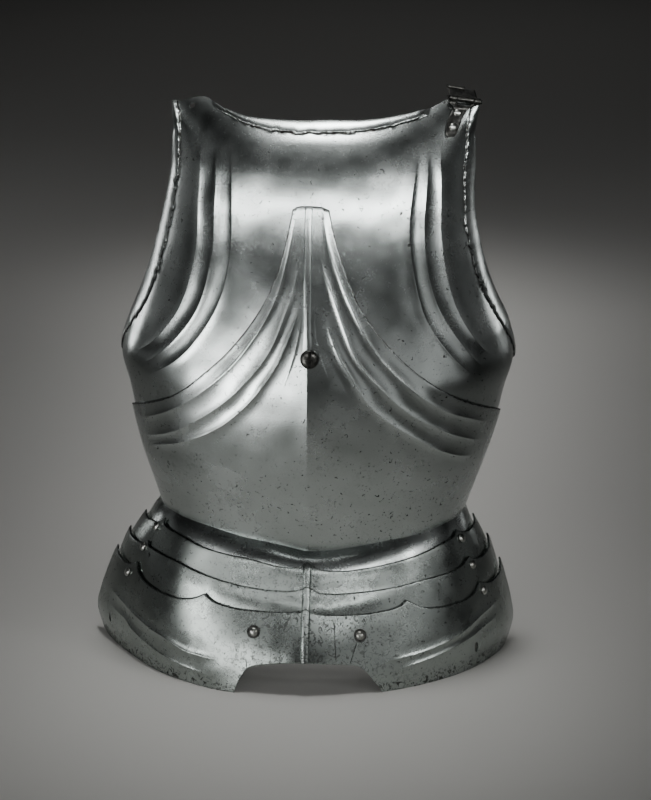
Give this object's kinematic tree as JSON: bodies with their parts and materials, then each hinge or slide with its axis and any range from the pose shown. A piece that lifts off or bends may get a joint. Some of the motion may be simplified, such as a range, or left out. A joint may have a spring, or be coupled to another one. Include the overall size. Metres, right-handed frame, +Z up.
{
  "type": "cuirass breastplate",
  "caption": "Gothic steel breastplate with fluted plackart, waist flange, articulated fauld lames and a shoulder hinge.",
  "frame": {"origin": "middle of the bounding box's lower face, on the surface that the fauld stands on", "axes": "+Z up towards the neck, -Y out of the chest, +X to the wearer's left, the viewer's right"},
  "size_m": [0.3826, 0.1602, 0.5175],
  "materials": {
    "plate_steel": "worn satin polish with fine pits",
    "lame_steel": "worn satin polish with rust pits",
    "rivet_steel": "polished heads",
    "dark_iron": "dark worn iron"
  },
  "bodies": {
    "cuirass": {"breastplate": "plate_steel", "plackart": "plate_steel", "central_screw": "dark_iron", "hinge_leaf": "dark_iron", "hinge_rivet_upper": "dark_iron", "hinge_rivet_lower": "dark_iron", "hinge_pin": "dark_iron"},
    "upper_lame": {"lame_1": "lame_steel", "lame_1_rivet_left": "rivet_steel", "lame_1_rivet_right": "rivet_steel"},
    "middle_lame": {"lame_2": "lame_steel", "lame_2_rivet_left": "rivet_steel", "lame_2_rivet_right": "rivet_steel"},
    "lower_lame": {"lame_3": "lame_steel", "lame_3_rivet_left": "rivet_steel", "lame_3_rivet_right": "rivet_steel", "tasset_washer_left": "dark_iron", "tasset_washer_right": "dark_iron", "tasset_rivet_left": "rivet_steel", "tasset_rivet_right": "rivet_steel"},
    "shoulder_loop": {"hinge_loop": "dark_iron"}
  },
  "joints": [
    {"name": "fauld_1", "type": "hinge", "parent": "cuirass", "child": "upper_lame", "pos_m": [0.00623, 0.02481, 0.11489], "axis": [-0.9999, 0.0051, 0.0164], "range_deg": [0, 3]},
    {"name": "fauld_2", "type": "hinge", "parent": "upper_lame", "child": "middle_lame", "pos_m": [0.0052, 0.02293, 0.0936], "axis": [-0.9995, 0.0191, 0.0258], "range_deg": [0, 3]},
    {"name": "fauld_3", "type": "hinge", "parent": "middle_lame", "child": "lower_lame", "pos_m": [0.00317, 0.02616, 0.0683], "axis": [-0.9994, 0.0308, 0.0176], "range_deg": [0, 3]},
    {"name": "shoulder_hinge", "type": "hinge", "parent": "cuirass", "child": "shoulder_loop", "pos_m": [0.13808, 0.04109, 0.50647], "axis": [0.9667, 0.1933, -0.1678], "range_deg": [0, 150]}
  ]
}
